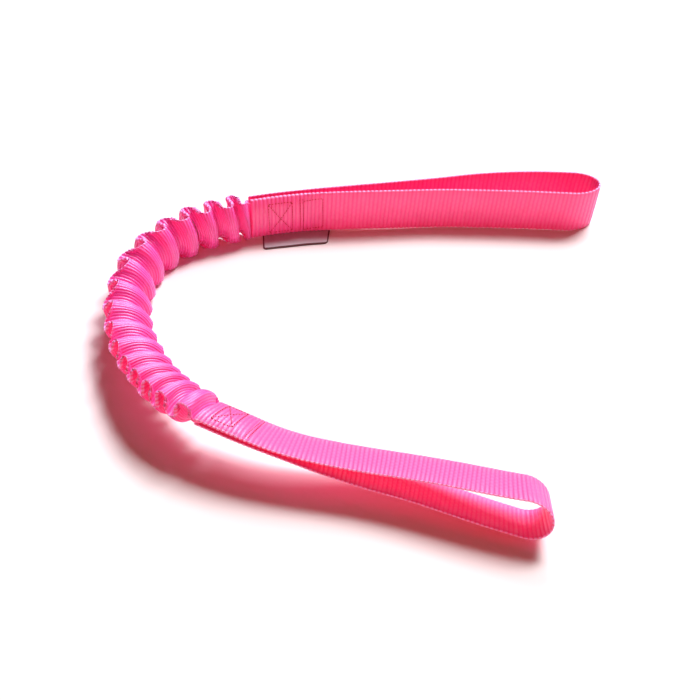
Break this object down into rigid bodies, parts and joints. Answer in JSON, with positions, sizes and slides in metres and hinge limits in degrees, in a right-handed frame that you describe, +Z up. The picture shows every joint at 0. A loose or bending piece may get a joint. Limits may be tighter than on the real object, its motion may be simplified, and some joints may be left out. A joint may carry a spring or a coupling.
{
  "type": "bungee tug toy",
  "caption": "Pull toy of pink webbing: two stitched hand loops joined by a gathered tubular sleeve over a flat elastic band, lying in a U shape on the floor.",
  "frame": {"origin": "middle of the bounding box on the floor plane", "axes": "Z up; the open side of the U faces +X; hand loop A lies toward +Y and hand loop B toward -Y"},
  "size_m": [0.2588, 0.264, 0.0313],
  "materials": {
    "webbing": "woven, matt",
    "sleeve_webbing": "woven, ribbed, soft sheen",
    "elastic": "covered elastic, matt",
    "label_cloth": "smooth woven tape"
  },
  "bodies": {
    "bungee_a": {"sleeve_a": "sleeve_webbing", "elastic_band": "elastic"},
    "bungee_b": {"sleeve_b": "sleeve_webbing"},
    "handle_a": {"strap_a": "webbing", "label": "label_cloth"},
    "handle_b": {"strap_b": "webbing"}
  },
  "joints": [
    {"name": "flex_a", "type": "hinge", "parent": "bungee_a", "child": "handle_a", "pos_m": [-0.05767, 0.1057, 0.0135], "axis": [0, 0, 1], "range_deg": [-30, 85], "deforming": ["sleeve_a"]},
    {"name": "stretch", "type": "slide", "parent": "bungee_a", "child": "bungee_b", "axis": [0.036, -0.9994, 0], "range_m": [0, 0.11], "stiffness_N_per_m": 150, "deforming": ["elastic_band"]},
    {"name": "flex_b", "type": "hinge", "parent": "bungee_b", "child": "handle_b", "pos_m": [-0.07194, -0.06092, 0.022], "axis": [0, 0, 1], "range_deg": [-70, 30], "deforming": ["sleeve_b"]}
  ]
}
